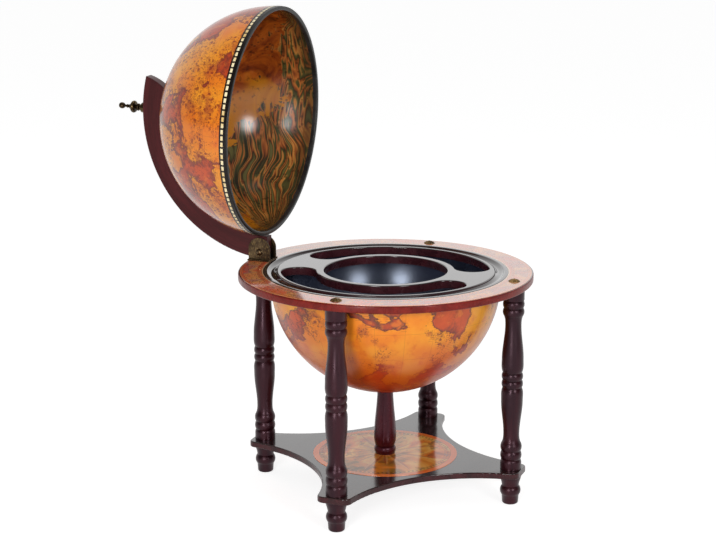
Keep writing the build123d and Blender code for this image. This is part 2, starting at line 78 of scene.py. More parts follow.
# %% Words for nodes
class Nodes:
    """A node tree with a short word for each kind of node."""

    def __init__(self, tree):
        self.tree = tree

    def add(self, kind, inputs=(), out=0, **settings):
        made = self.tree.nodes.new("ShaderNode" + kind)
        for key, value in settings.items():
            setattr(made, key, value)
        for key, value in dict(inputs).items():
            self.put(made.inputs[key], value)
        return made.outputs[out]

    def put(self, socket, value):
        if isinstance(value, bpy.types.NodeSocket):
            self.tree.links.new(value, socket)
        else:
            socket.default_value = value

    def math(self, operation, a, b=0.0):
        return self.add("Math", {0: a, 1: b}, operation=operation)

    def plus(self, a, b):
        return self.math("ADD", a, b)

    def times(self, a, b):
        return self.math("MULTIPLY", a, b)

    def most(self, a, b):
        return self.math("MAXIMUM", a, b)

    def vector(self, operation, a, b=(0.0, 0.0, 0.0), out=0):
        return self.add("VectorMath", {0: a, 1: b}, operation=operation, out=out)

    def split(self, vector):
        made = self.tree.nodes.new("ShaderNodeSeparateXYZ")
        self.put(made.inputs[0], vector)
        return tuple(made.outputs)

    def join(self, x, y, z):
        return self.add("CombineXYZ", {0: x, 1: y, 2: z})

    def mix(self, factor, a, b):
        """Colour a where the factor is 0, colour b where it is 1."""
        made = self.tree.nodes.new("ShaderNodeMix")
        made.data_type = "RGBA"
        self.put(made.inputs["Factor"], factor)
        self.put(made.inputs[6], a)
        self.put(made.inputs[7], b)
        return made.outputs[2]

    def ramp(self, value, stops):
        """Colours along a value, from pairs of a place and a colour."""
        made = self.tree.nodes.new("ShaderNodeValToRGB")
        while len(made.color_ramp.elements) < len(stops):
            made.color_ramp.elements.new(0.5)
        for element, (place, colour) in zip(made.color_ramp.elements, stops):
            element.position = place
            element.color = colour
        self.put(made.inputs["Fac"], value)
        return made.outputs["Color"]


print("words for nodes ready")

# %% [markdown]
# Prints, paint and wood are patterns, and patterns need a few more words: soft steps, thin lines,
# bands, spots, noises, and places measured from a middle. Steps, lines, bands and spots give 0
# to 1, as a stencil does, and "over" paints a colour through such a stencil.

# %% Words for patterns
class Shader(Nodes):
    """The patterns that the finishes are made of."""

    def step(self, value, low, high, out_low=0.0, out_high=1.0):
        """Smooth ramp from out_low to out_high while value goes from low to high."""
        return self.add("MapRange", {"Value": value, "From Min": low, "From Max": high,
                                     "To Min": out_low, "To Max": out_high},
                        interpolation_type="SMOOTHSTEP")

    def line(self, value, at, width):
        """1 where value is at a number, falling to 0 a width away from it."""
        return self.step(self.math("ABSOLUTE", self.math("SUBTRACT", value, at)), width, 0.4 * width)

    def ruled(self, value, spacing, width):
        """Lines wherever value is a multiple of spacing."""
        return self.step(self.math("PINGPONG", value, spacing / 2.0), width, 0.4 * width)

    def band(self, value, low, high, soft):
        """1 between two numbers, with soft edges outside them."""
        return self.times(self.step(value, low - soft, low), self.step(value, high + soft, high))

    def over(self, tone, stencil, strength, colour):
        """Paints a colour over a tone through a stencil, as strongly as the number says."""
        return self.mix(self.times(stencil, strength), tone, colour)

    def noise(self, vector, scale, detail=3.0, roughness=0.5, distortion=0.0, out=0):
        return self.add("TexNoise", {"Vector": vector, "Scale": scale, "Detail": detail,
                                     "Roughness": roughness, "Distortion": distortion}, out=out)

    def dots(self, vector, scale, outer, inner):
        """Round spots: 1 within the inner distance of a cell's middle, 0 beyond the outer one."""
        return self.step(self.add("TexVoronoi", {"Vector": vector, "Scale": scale}), outer, inner)

    def placed(self, centre=(0.0, 0.0, 0.0), turn=0.0):
        """Object coordinates measured from a centre, along axes turned about X."""
        point = self.add("TexCoord", out="Object")
        return self.add("Mapping", {"Vector": point, "Location": centre, "Rotation": (turn, 0.0, 0.0)},
                        vector_type="TEXTURE")

    def polar(self, x, y):
        """Radius and angle in degrees of a place on a plane."""
        square = self.plus(self.times(x, x), self.times(y, y))
        return self.math("SQRT", square), self.times(self.math("ARCTAN2", y, x), 180.0 / math.pi)


print("words for patterns ready")

# %% [markdown]
# Each finish is one material: a colour, a roughness and a fine relief, all worked out from
# where a point lies on the piece. Values that are the same all over stay on the surface's own
# sockets, because other programs can read them there.

# %% Finishes
def rgb(red, green, blue):
    """A screen colour, 0 to 255, as the linear colour that sockets take."""
    screen = np.array([red, green, blue]) / 255.0
    linear = np.where(screen <= 0.04045, screen / 12.92, ((screen + 0.055) / 1.055) ** 2.4)
    return (*linear.tolist(), 1.0)


def finish(name, paint, relief=0.0, **constants):
    """A named material: paint gives colour, roughness, height and perhaps a coat.

    The relief is how far, in metres, a height of 1 stands above a height of 0.
    """
    made = bpy.data.materials.new(name)
    made.use_nodes = True
    shader = Shader(made.node_tree)
    surface = made.node_tree.nodes["Principled BSDF"]
    colour, roughness, height, *coat = paint(shader)
    shader.put(surface.inputs["Base Color"], colour)
    shader.put(surface.inputs["Roughness"], roughness)
    if coat:
        shader.put(surface.inputs["Coat Weight"], coat[0])
    if relief:
        shader.put(surface.inputs["Normal"], shader.add("Bump", {"Height": height, "Distance": relief}))
    for key, value in constants.items():
        surface.inputs[key.replace("_", " ")].default_value = value
    print("finish", name, "nodes", len(made.node_tree.nodes))
    return made


# %% [markdown]
# The studio has a pale floor, a white sweep beyond the object and soft lamps near the camera.
# Flat tops mirror the white sweep, and upright faces mirror the dimmer room, so dark lacquer
# stays dark. As a light source the sky is plain and even, so a colour shows about as it is
# written. The floor keeps its shadows.

# %% Surroundings
def studio_world(fill, dim):
    """White to the camera; in reflections white beyond the object and dim on the lamps' side."""
    world = bpy.data.worlds.new("studio")
    bpy.context.scene.world = world
    world.use_nodes = True
    shader = Shader(world.node_tree)
    path = shader.tree.nodes.new("ShaderNodeLightPath")
    mirrored = shader.most(path.outputs["Is Glossy Ray"], path.outputs["Is Transmission Ray"])
    toward = shader.vector("DOT_PRODUCT", shader.add("TexCoord", out="Generated"), tuple(back), out=1)
    room = shader.step(toward, -0.5, 0.1, 1.0, dim)
    light = shader.add("MapRange", {"Value": mirrored, "To Min": fill, "To Max": room})
    direct = path.outputs["Is Camera Ray"]
    seen = shader.add("MapRange", {"Value": direct, "To Min": light, "To Max": 1.0})
    background = world.node_tree.nodes["Background"]
    background.inputs["Color"].default_value = (1.0, 1.0, 1.0, 1.0)
    shader.put(background.inputs["Strength"], seen)


def seen_directly(shader):
    """1 for a ray from the camera, a mirror or a glass, 0 for one that carries light."""
    path = shader.tree.nodes.new("ShaderNodeLightPath")
    seen = shader.most(path.outputs["Is Camera Ray"], path.outputs["Is Glossy Ray"])
    return shader.most(seen, path.outputs["Is Transmission Ray"])


def pale_floor(half, glow):
    """A square floor, half its side given, that shows pale to the camera and in mirrors."""
    floor = bpy.data.objects.new("floor", bpy.data.meshes.new("floor"))
    corners = [(-half, -half, 0.0), (half, -half, 0.0), (half, half, 0.0), (-half, half, 0.0)]
    floor.data.from_pydata(corners, [], [(0, 1, 2, 3)])
    bpy.context.scene.collection.objects.link(floor)
    made = finish("pale_floor", lambda shader: ((0.5, 0.5, 0.5, 1.0), 0.9, 0.0),
                  Specular_IOR_Level=0.0, Emission_Color=(1.0, 1.0, 1.0, 1.0))
    shader = Shader(made.node_tree)
    shader.put(made.node_tree.nodes["Principled BSDF"].inputs["Emission Strength"],
               shader.times(seen_directly(shader), glow))
    floor.data.materials.append(made)


studio_world(fill=0.36, dim=0.2)
print("white sweep ready")

# %% [markdown]
# Four round soft lamps do the rest. Two stand left and right of the camera, where they show as
# soft shines inside the hollow globe and in the bowl. A low one at the left lights the lower
# globe under the ring, and a weak wide one above draws the thin lines on the top edges.
# The floor is laid last. It glows a little, but only where it is seen or mirrored.

# %% Lamps and floor
def soft_lamp(name, place, aim, size, power):
    """A round lamp: its place, what it points at and its size in metres, its power in watts."""
    lamp = bpy.data.objects.new(name, bpy.data.lights.new(name, "AREA"))
    bpy.context.scene.collection.objects.link(lamp)
    lamp.data.shape = "DISK"
    lamp.data.size = size
    lamp.data.energy = power
    lamp.location = place
    lamp.rotation_mode = "QUATERNION"
    lamp.rotation_quaternion = (Vector(aim) - Vector(place)).to_track_quat("-Z", "Y")
    print("lamp", name, power, "W")


soft_lamp("soft_box_left", (-2.8, -0.15, 1.05), aim=(0.0, 0.1, 0.4), size=0.78, power=29.0)
soft_lamp("soft_box_right", (-1.7, -2.1, 1.02), aim=(0.0, 0.1, 0.4), size=0.75, power=25.0)
soft_lamp("soft_box_low", (-2.8, -0.1, 0.29), aim=(0.0, 0.1, 0.29), size=0.5, power=13.0)
soft_lamp("top", (0.3, 0.1, 2.6), aim=(0.0, 0.1, 0.3), size=1.5, power=8.0)
pale_floor(half=25.0, glow=0.8)

# %% [markdown]
# Nearly every piece here was turned on a lathe or is part of a ball.
# Such a shape is one outline carried round an axis: point(a, s) = (r(s) cos a, r(s) sin a, h(s)).
# The grid of points is worked out as one array, and the doubles at the poles are merged after.

# %% Surfaces from grids
def stitched(grids, along):
    """Points and faces of grids of points (rows, columns, 3): a face for each neighbouring four.

    The columns close round the axis, and the rows close too where along is true.
    """
    points, faces, start = [], [], 0
    for grid in grids:
        high, wide = grid.shape[:2]
        index = start + np.arange(high * wide).reshape(high, wide)
        index = np.concatenate([index, index[:, :1]], axis=1)
        index = np.concatenate([index, index[:1]], axis=0) if along else index
        quads = np.stack([index[:-1, :-1], index[:-1, 1:], index[1:, 1:], index[1:, :-1]], axis=-1)
        points.append(grid.reshape(-1, 3))
        faces.append(quads.reshape(-1, 4))
        start += high * wide
    return points, np.concatenate(faces).tolist(), start


def grid_mesh(name, grids, along=True, rows=None, sharp=40.0, flats=()):
    """One mesh from grids of points, closed round the axis and perhaps along the outline.

    The rows give each row of faces its finish, flats are flat faces as points and triangles,
    and faces that meet at more than the sharp angle in degrees keep a crisp edge.
    """
    points, faces, start = stitched(grids, along)
    for corners, triangles in flats:
        faces += (start + triangles).tolist()
        points.append(corners)
        start += len(corners)
    mesh = bpy.data.meshes.new(name)
    mesh.from_pydata(np.concatenate(points).tolist(), [], faces)
    if rows is not None:
        finishes = np.repeat(np.asarray(rows, dtype=np.int32), len(mesh.polygons) // len(rows))
        mesh.polygons.foreach_set("material_index", finishes)
    work = bmesh.new()
    work.from_mesh(mesh)
    bmesh.ops.remove_doubles(work, verts=work.verts, dist=1e-7)
    bmesh.ops.recalc_face_normals(work, faces=work.faces)
    work.to_mesh(mesh)
    work.free()
    mesh.polygons.foreach_set("use_smooth", np.ones(len(mesh.polygons), dtype=bool))
    mesh.set_sharp_from_angle(angle=math.radians(sharp))
    return mesh


print("grids ready")

# %% [markdown]
# An outline is drawn as a turner would draw it: straight runs, arcs and flowing curves.
# It goes up one side of the piece in pairs of a radius and a height, in millimetres.

# %% Outlines
def spun(outline, turns, place=(0.0, 0.0)):
    """Outline points (radius, height) carried round an upright axis in so many steps."""
    angle = np.linspace(0.0, 2.0 * np.pi, turns, endpoint=False)
    radius, height = np.asarray(outline, dtype=float).T
    return np.stack([place[0] + np.outer(radius, np.cos(angle)),
                     place[1] + np.outer(radius, np.sin(angle)),
                     np.repeat(height[:, None], turns, axis=1)], axis=-1)


def arc(centre, radius, start, end, count):
    """Points on a circle (across, up) from one angle to another, in degrees."""
    angle = np.radians(np.linspace(start, end, count))
    return np.column_stack([centre[0] + radius * np.cos(angle), centre[1] + radius * np.sin(angle)])


def lift(height, radius):
    """Angle in degrees at which a circle of a radius stands a height above its middle."""
    return math.degrees(math.asin(height / radius))


def flowing(start, end, lean_start, lean_end, count=18):
    """Cubic (2t^3-3t^2+1) p0 + (t^3-2t^2+t) m0 + (3t^2-2t^3) p1 + (t^3-t^2) m1, m = length * lean."""
    t = np.linspace(0.0, 1.0, count)[:, None]
    start, end = np.array(start), np.array(end)
    length = np.linalg.norm(end - start)
    first = length * np.array(lean_start) / np.linalg.norm(lean_start)
    last = length * np.array(lean_end) / np.linalg.norm(lean_end)
    return ((2*t**3 - 3*t**2 + 1) * start + (t**3 - 2*t**2 + t) * first
            + (3*t**2 - 2*t**3) * end + (t**3 - t**2) * last)


print("outline helpers ready")

# %% [markdown]
# The globe is measured shut and shown open, so its pieces are made shut, where the sums are
# simple, and then turned about the hinge as the real one is.

# %% Shared measures
mm = 0.001
hinge = np.array([0.0, 192.5, 339.0]) * mm
opening = math.radians(-87.5)
open_centre = (0.0, 170.616 * mm, 530.728 * mm)
leg_circle = 191.3 * mm
leg_places = {"left": (-1, 0), "front": (0, -1), "right": (1, 0), "back": (0, 1)}

# Heights and radii that several outlines share, in mm.
shut_middle, bowl_middle = 325.5, 315.5    # middles of the shut upper globe and of the lower one
ball, hollow_ball = 165.0, 161.0           # outside and inside of both shells
pole_hole = 3.1
rim_top, lip_top = 4.4, 18.0               # above the upper globe's middle: rim outside, lip inside
bowl_centre = (0.0, 0.0, bowl_middle * mm)


def shut(outline):
    """From mm above the globe's middle to metres above the table, globe shut."""
    return (outline + (0.0, shut_middle)) * mm


def swung(points):
    """Turns shut points about the hinge: y' = y cos a - z sin a, z' = y sin a + z cos a."""
    y, z = points[..., 1] - hinge[1], points[..., 2] - hinge[2]
    out = points.copy()
    out[..., 1] = hinge[1] + y * math.cos(opening) - z * math.sin(opening)
    out[..., 2] = hinge[2] + y * math.sin(opening) + z * math.cos(opening)
    return out


print("globe opens by", round(math.degrees(-opening), 1), "degrees")

# %% [markdown]
# A piece that stands for measured solids hides them, and it rides on the same moving body.
# Measured pieces that are right already keep their shape. They are welded, because they come as
# loose triangles, and their flat faces and edges are shaded apart.

# %% Pieces in place
def piece(mesh, materials, body, slot, *replaced):
    """Puts a mesh in the scene as a piece that rides on a body and stands for measured nodes."""
    made = bpy.data.objects.new(mesh.name, mesh)
    bpy.context.scene.collection.objects.link(made)
    for material in materials:
        mesh.materials.append(material)
    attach(made, body)
    if replaced:
        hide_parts(*replaced)
    size = [round(side / mm, 1) for side in made.dimensions]
    print(mesh.name, "faces", len(mesh.polygons), "size mm", size)


def dressed(material, *names, blunt=0.0):
    """Measured nodes that keep their shape: welded, perhaps with blunt edges, and shaded smooth."""
    crisp = math.radians(32.0)
    for name in names:
        made = nodes[name]
        made.data.materials.clear()
        made.data.materials.append(material)
        made.data.polygons.foreach_set("use_smooth", np.ones(len(made.data.polygons), dtype=bool))
        made.modifiers.new("weld", "WELD").merge_threshold = 1e-6
        if blunt:
            bevel = made.modifiers.new("blunt", "BEVEL")
            bevel.width, bevel.segments, bevel.angle_limit = blunt, 2, crisp
        made.modifiers.new("edges", "EDGE_SPLIT").split_angle = crisp
        made.modifiers.new("flats", "WEIGHTED_NORMAL").weight = 90
        print(name, "dressed in", material.name)


# %% [markdown]
# The stand, the ring and the arm are hardwood under a dark red-brown lacquer.
# Wood is never one colour: it has slow bands and fine dark pores that run with the fibres.
# Noise that is squeezed across the fibres and drawn out along them gives both, and each kind of
# piece says which way its fibres run: up a turned leg, round a bow, straight across a board.
# The stain took differently on each: the legs are nearly black, the column and the bow redder.

# %% Lacquered wood
drawn_out = 0.05    # scale of the noise along the fibres; across them it is 1


def upright_fibres(shader):
    return shader.vector("MULTIPLY", shader.placed(), (1.0, 1.0, drawn_out))


def board_fibres(shader):
    return shader.vector("MULTIPLY", shader.placed(), (drawn_out, 1.0, 1.0))


def bow_fibres(shader):
    """Along the bow: angle times radius about the middle of its arc."""
    metres_per_degree = 0.0032
    x, y, z = shader.split(shader.placed(open_centre, opening))
    radius, angle = shader.polar(y, z)
    return shader.join(x, radius, shader.times(angle, metres_per_degree * drawn_out))


def lacquered(fibres, dark, light, gloss):
    """Paint for lacquered wood from its two tones and its roughness where it is least worn."""
    def paint(shader):
        run = fibres(shader)
        slow = shader.noise(run, 60.0, detail=4.0, roughness=0.6, distortion=0.5)
        pores = shader.noise(run, 900.0, detail=2.0, roughness=0.7)
        tone = shader.mix(shader.step(slow, 0.3, 0.7), dark, light)
        tone = shader.mix(shader.step(pores, 0.5, 0.34, 0.0, 0.4), tone, rgb(22, 6, 8))
        worn = shader.noise(shader.placed(), 35.0, detail=5.0, roughness=0.65)
        return tone, shader.step(worn, 0.3, 0.75, gloss, gloss + 0.14), pores
    return paint


leg_wood = finish("leg_wood", lacquered(upright_fibres, rgb(20, 4, 8), rgb(46, 12, 17), 0.26),
                  relief=0.000003, Specular_IOR_Level=0.36, Specular_Tint=(0.95, 0.6, 0.72, 1.0))
column_wood = finish("column_wood", lacquered(upright_fibres, rgb(42, 6, 11), rgb(74, 18, 24), 0.22),
                     relief=0.000005, Specular_IOR_Level=0.38, Specular_Tint=(1.0, 0.55, 0.68, 1.0))
bow_wood = finish("bow_wood", lacquered(bow_fibres, rgb(52, 14, 16), rgb(78, 25, 28), 0.3),
                  relief=0.00001, Specular_IOR_Level=0.3, Specular_Tint=(1.0, 0.65, 0.65, 1.0))
dressed(bow_wood, "meridian_arm")

# %% [markdown]
# The boards are the same wood with a thick dark lacquer on their flat tops, which mirrors the
# room at a low angle. Their sawn sides are redder and duller. One material holds both, and a
# height or a radius on the piece says where the top ends.

# %% Boards
def above(height):
    """Stencil for the top of a board: 1 above a height."""
    return lambda shader: shader.step(shader.split(shader.placed())[2], height - 0.6 * mm, height)


def within(radius):
    """Stencil for the top of a round board: 1 inside a radius."""
    def stencil(shader):
        x, y, z = shader.split(shader.placed())
        return shader.step(shader.polar(x, y)[0], radius + 1.0 * mm, radius)
    return stencil


def board(stencil, side_dark, side_light, coat=1.0):
    """Paint for a board: dark gloss and a coat where the stencil is 1, red-brown sides elsewhere."""
    def paint(shader):
        side, side_rough, pores = lacquered(board_fibres, side_dark, side_light, 0.22)(shader)
        top = stencil(shader)
        cloud = shader.noise(shader.placed(), 14.0, detail=4.0)
        lacquer = shader.mix(shader.step(cloud, 0.35, 0.65), rgb(33, 20, 21), rgb(46, 29, 29))
        top_rough = shader.step(cloud, 0.3, 0.7, 0.07, 0.13)
        rough = shader.plus(shader.times(side_rough, shader.math("SUBTRACT", 1.0, top)),
                            shader.times(top_rough, top))
        specks = shader.noise(shader.placed(), 500.0, detail=2.0)
        return shader.mix(top, side, lacquer), rough, specks, shader.times(top, coat)
    return paint


tray_board = finish("tray_board", board(above(326.0 * mm), rgb(46, 18, 24), rgb(68, 29, 36)),
                    relief=0.000002, Coat_Roughness=0.06, Specular_IOR_Level=0.3)
shelf_board = finish("shelf_board", board(above(51.2 * mm), rgb(44, 14, 18), rgb(70, 25, 30), coat=0.8),
                     relief=0.000002, Coat_Roughness=0.2, Specular_IOR_Level=0.3)
ring_board = finish("ring_board", board(within(209.2 * mm), rgb(104, 22, 17), rgb(132, 37, 28)),
                    relief=0.000002, Coat_Roughness=0.06, Specular_IOR_Level=0.2)
dressed(shelf_board, "base_shelf")

# %% [markdown]
# The tray hangs in the ring by a shoulder. It has a round well and two curved bottle slots, and
# all its top edges are rounded, so that each draws a thin line of light.
# It could be a board with holes cut by a boolean, but rounding such edges leaves uneven facets.
# So each wall is a short section carried round its path, and the two flat faces are filled in
# between the paths. The first cell draws the paths.

# %% Paths round the tray
def round_path(radius, count):
    """Circle: its points, and at each the direction away from the middle."""
    angle = np.linspace(0.0, 2.0 * np.pi, count, endpoint=False)[:, None]
    away = np.hstack([np.cos(angle), np.sin(angle)])
    return radius * away, away


def turning(start, end, count):
    """Even steps from one angle towards another, in degrees, given back in radians."""
    return np.radians(np.linspace(start, end, count, endpoint=False))


def slot_path(side, middle=124.5, half=25.5, reach=64.2, long=160, short=120, tip=48):
    """Bent slot: outer arc, round end, inner arc, round end, with directions into the wood.

    A point is middle * (cos, sin)(bearing) + half * (cos, sin)(facing), and faces the same way.
    """
    first, last = side - reach, side + reach
    bearing = np.concatenate([turning(first, last, long), np.full(tip, math.radians(last)),
                              turning(last, first, short), np.full(tip, math.radians(first))])
    facing = np.concatenate([turning(first, last, long), turning(last, last + 180.0, tip),
                             turning(last + 180.0, first + 180.0, short),
                             turning(first + 180.0, first + 360.0, tip)])
    into = np.column_stack([np.cos(facing), np.sin(facing)])
    return middle * np.column_stack([np.cos(bearing), np.sin(bearing)]) + half * into, into


print("slot path of", len(slot_path(0.0)[0]), "points")

# %% [markdown]
# A section goes up the wall, round the edge and a little way over the top. That last step is
# flat already, which keeps the shine of the filled face even up to its border.

# %% Tray
def wall(path, into, section):
    """Section points (depth into the wood, height) carried along a path: point + depth * direction."""
    depth, height = np.asarray(section, dtype=float).T
    across = path[None] + depth[:, None, None] * into[None]
    return np.dstack([across, np.repeat(height[:, None], len(path), axis=1)]) * mm


def filled(rows):
    """Triangles in the plane between an outer row of points and the rows round its holes."""
    return np.concatenate(rows), np.array(tessellate_polygon([row.tolist() for row in rows]))


def rounded(radius, top):
    """Top of a wall's section: 0.2 mm of wall, a quarter round and 0.3 mm of the flat top."""
    return np.concatenate([[(0.0, top - radius - 0.2)],
                           arc((radius, top - radius), radius, 180.0, 90.0, 9), [(radius + 0.3, top)]])


tray_under, shoulder_under, tray_top = 315.5, 319.5, 327.0
tray_radius, well_radius = 156.0, 88.5
rim_section = np.concatenate([[(3.0, tray_under), (3.0, shoulder_under), (0.0, shoulder_under)],
                              rounded(2.0, tray_top)])
hole_section = np.concatenate([[(0.0, tray_under)], rounded(1.5, tray_top)])
rim_path, rim_away = round_path(tray_radius, 320)
tray_walls = [wall(rim_path, -rim_away, rim_section), wall(*round_path(well_radius, 240), hole_section),
              wall(*slot_path(0.0), hole_section), wall(*slot_path(180.0), hole_section)]
tray_faces = [filled([walls[end] for walls in tray_walls]) for end in (0, -1)]
piece(grid_mesh("bottle_tray", tray_walls, along=False, flats=tray_faces),
      [tray_board], "stand", "dark_lacquered_board", "bar_tray")

# %% [markdown]
# The ring is one board turned on a face plate. Its rim is blunt, and a low flat bead stands
# between the paper and a hollow groove that takes the shut globe's edge. The groove is a cove
# cut with a round-nosed tool: h = floor + depth * (2 u - 1)^2 for u from 0 to 1 across it.
# A slot below takes the edge of the lower globe, and the tray hangs on the lip of the bore.

# %% Horizon ring
def ring_outline():
    """Section of the ring board in mm, counter-clockwise from the lip of the bore."""
    bore, lip, under, top = 153.5, 319.5, 315.5, 326.0
    slot_in, slot_out, slot_top = 161.0, 165.0, 318.5
    outside, edge = 211.0, 2.0
    groove_edge, groove_wide, groove_floor, groove_deep = 168.3, 11.5, 322.4, 2.6
    bead_middle, bead_half, bead_rise = 172.0, 3.5, 0.9
    u = np.linspace(0.0, 1.0, 18)
    cove = np.column_stack([groove_edge - groove_wide * u,
                            groove_floor + groove_deep * (2.0 * u - 1.0)**2])
    v = np.linspace(-1.0, 1.0, 22)
    bead_top = np.column_stack([bead_middle - bead_half * v,
                                top + bead_rise * (1.0 - np.abs(v)**5)])
    return np.concatenate([
        [(bore, under), (slot_in, under), (slot_in, slot_top), (slot_out, slot_top), (slot_out, under)],
        arc((outside - edge, under + edge), edge, -90.0, 0.0, 7),
        arc((outside - edge, top - edge), edge, 0.0, 90.0, 9),
        bead_top, cove, [(156.5, lip), (bore, lip)]])


piece(grid_mesh("ring_turned", [spun(ring_outline() * mm, 320)]), [ring_board],
      "stand", "red_brown_wood", "horizon_ring")

# %% [markdown]
# A leg is one turning: a plain block at each end, three pairs of beads and two long vases.
# On a lathe the chisel follows an outline, so the leg is that outline carried round its axis.
# The beads are arcs, the vases are smooth cubics, and the blocks' corners are slightly blunt.

# %% Beads, vases and shoulders
bead_groove, bead_crown = 13.6, 15.2


def bead_arc(groove, crown, low, high, count=14):
    """Arc through (groove, low), (crown, middle) and (groove, high)."""
    half, rise = (high - low) / 2.0, crown - groove
    radius = (half * half + rise * rise) / (2.0 * rise)
    reach = lift(half, radius)
    return arc((crown - radius, (low + high) / 2.0), radius, -reach, reach, count)


def bead_pair(start, long):
    """Two beads of the same length, one above the other."""
    return np.concatenate([bead_arc(bead_groove, bead_crown, start, start + long),
                           bead_arc(bead_groove, bead_crown, start + long, start + 2 * long)[1:]])


def vase(start, end):
    """Long swelling: from the middle beads out to a belly, in to a waist and out again."""
    way = 1.0 if end > start else -1.0
    belly, waist = (15.4, start + way * 19.5), (11.4, end - way * 13.5)
    run = np.concatenate([flowing((bead_groove, start), belly, (0.5, way), (0.0, way)),
                          flowing(belly, waist, (0.0, way), (0.0, way), 26)[1:],
                          flowing(waist, (bead_groove, end), (0.0, way), (0.5, way))[1:]])
    return run if way > 0 else run[::-1]


def shoulder(start, end, count=12):
    """Arc that leaves start upright: radius (d^2 + h^2) / 2d for a step in of d over a height h."""
    inward, rise = start[0] - end[0], end[1] - start[1]
    radius = (inward**2 + rise**2) / (2.0 * inward)
    return arc((start[0] - radius, start[1]), radius, 0.0, lift(rise, radius), count)


print("a pair of beads has", len(bead_pair(0.0, 11.0)), "points")

# %% [markdown]
# The leg stands on the shelf and carries the ring, and its foot goes on below the shelf. The
# foot is a pad, a ball and a neck that flares out to the shelf's underside.

# %% Turned legs
def leg_outline():
    """Half section of a leg in mm, from the shelf up to the ring."""
    low, high, middle = 52.0, 315.5, 183.75
    block, corner = 15.0, 0.4
    lower, upper = low + 14.5, high - 38.0
    return np.concatenate([
        [(0.0, low), (block - corner, low), (block, low + corner)],
        shoulder((block, lower - 5.0), (bead_groove, lower)), bead_pair(lower, 12.4),
        vase(middle - 11.0, lower + 24.8)[1:-1], bead_pair(middle - 11.0, 11.0),
        vase(middle + 11.0, upper)[1:-1], bead_pair(upper, 11.0),
        [(14.0, high - 16.0), (14.7, high - 15.7), (block, high - 15.0),
         (block, high - corner), (block - corner, high), (0.0, high)]])


def foot_outline():
    """Half section of a foot in mm: pad, ball, and a neck that flares to the shelf."""
    neck, ball_low, ball_high, shelf_under = 12.2, 13.0, 27.0, 43.0
    return np.concatenate([[(0.0, 0.0)], arc((8.36, 3.2), 3.2, -90.0, -4.0, 10), [(neck, ball_low)],
                           bead_arc(neck, 14.8, ball_low, ball_high, 20)[1:],
                           flowing((neck, ball_high), (15.4, shelf_under), (0.0, 1.0), (0.0, 1.0))[1:],
                           [(0.0, shelf_under)]])


for name, (x, y) in leg_places.items():
    spot = (x * leg_circle, y * leg_circle)
    piece(grid_mesh("turned_leg_" + name, [spun(leg_outline() * mm, 64, spot)], along=False),
          [leg_wood], "stand", "red_brown_wood", "leg_" + name)
    piece(grid_mesh("turned_foot_" + name, [spun(foot_outline() * mm, 64, spot)], along=False),
          [leg_wood], "stand", "red_brown_wood", "foot_" + name)

# %% [markdown]
# The column under the globe is turned too. It widens downwards to a belly, then comes in to a
# neck over one bead. Its top is hollowed to the globe, so the outline ends on the globe's own arc.

# %% Centre column
def column_outline():
    """Half section of the column in mm, its top hollowed to the globe."""
    foot, low, belly, top_radius = 14.3, 52.4, (16.1, 77.4), 11.4
    bead_low, bead_high = 54.0, 63.4
    top = bowl_middle - math.sqrt(ball**2 - top_radius**2)
    return np.concatenate([[(0.0, low), (foot - 0.4, low), (foot, low + 0.4), (foot, bead_low)],
                           bead_arc(foot, 15.8, bead_low, bead_high, 18)[1:],
                           flowing((13.2, bead_high), belly, (0.5, 1.0), (0.0, 1.0)),
                           flowing(belly, (top_radius, top), (0.0, 1.0), (0.0, 1.0), 30)[1:],
                           arc((0.0, bowl_middle), ball, -90.0 + lift(top_radius, ball), -90.0, 6)[1:]])


piece(grid_mesh("turned_column", [spun(column_outline() * mm, 64)], along=False),
      [column_wood], "stand", "red_brown_wood", "centre_column")

# %% [markdown]
# Both half globes carry a printed map in the old manner: warm yellow seas, brick-coloured lands
# whose coasts are shaded darker inside, little hills, and a net of meridians and parallels.
# The continents are nobody's: they are where a soft three-dimensional noise is high.
# The paper is varnished, so the finish is smooth. First come the seas and lands.

# %% Seas and lands
def coasts(shader, height, slow, blot, shore):
    """Sea where the height is under the shore, land above it, shaded darker towards its coast."""
    sea = shader.mix(shader.step(slow, 0.38, 0.62), rgb(246, 164, 38), rgb(234, 132, 26))
    sea = shader.mix(shader.step(blot, 0.5, 0.68, 0.0, 0.5), sea, rgb(210, 94, 26))
    land = shader.mix(shader.step(slow, 0.42, 0.56), rgb(204, 84, 36), rgb(182, 70, 30))
    land = shader.mix(shader.step(blot, 0.52, 0.62, 0.0, 0.55), land, rgb(224, 126, 44))
    ground = shader.step(height, shore, shore + 0.004)
    tone = shader.mix(ground, sea, land)
    shade = shader.times(ground, shader.step(height, shore + 0.045, shore, 0.0, 0.85))
    tone = shader.mix(shade, tone, rgb(84, 48, 42))
    return shader.over(tone, shader.line(height, shore, 0.005), 0.85, rgb(50, 24, 18))


def engraved(shader, tone, x, y, z, height, shore):
    """Wave lines along the coasts, and a net of parallels and meridians 15 degrees apart."""
    net_step, line_width = 15.0, 0.16
    latitude = shader.times(shader.math("ARCSINE", z), 180.0 / math.pi)
    across, longitude = shader.polar(x, y)
    waves = shader.times(shader.ruled(latitude, 1.1, line_width),
                         shader.band(height, shore - 0.025, shore, 0.004))
    tone = shader.over(tone, waves, 0.5, rgb(122, 56, 30))
    wide = shader.times(shader.math("PINGPONG", longitude, net_step / 2.0), across)
    net = shader.most(shader.ruled(latitude, net_step, line_width), shader.step(wide, line_width, 0.06))
    return shader.over(tone, net, 0.3, rgb(132, 66, 26))


print("coasts and net ready")

# %% [markdown]
# Old maps are crowded in some places and calm in others. One slow noise says where, and hills,
# dots, strokes and crumbs of ink all follow it. Loose coordinates, moved a little by another
# noise, keep the hills from standing in rows.

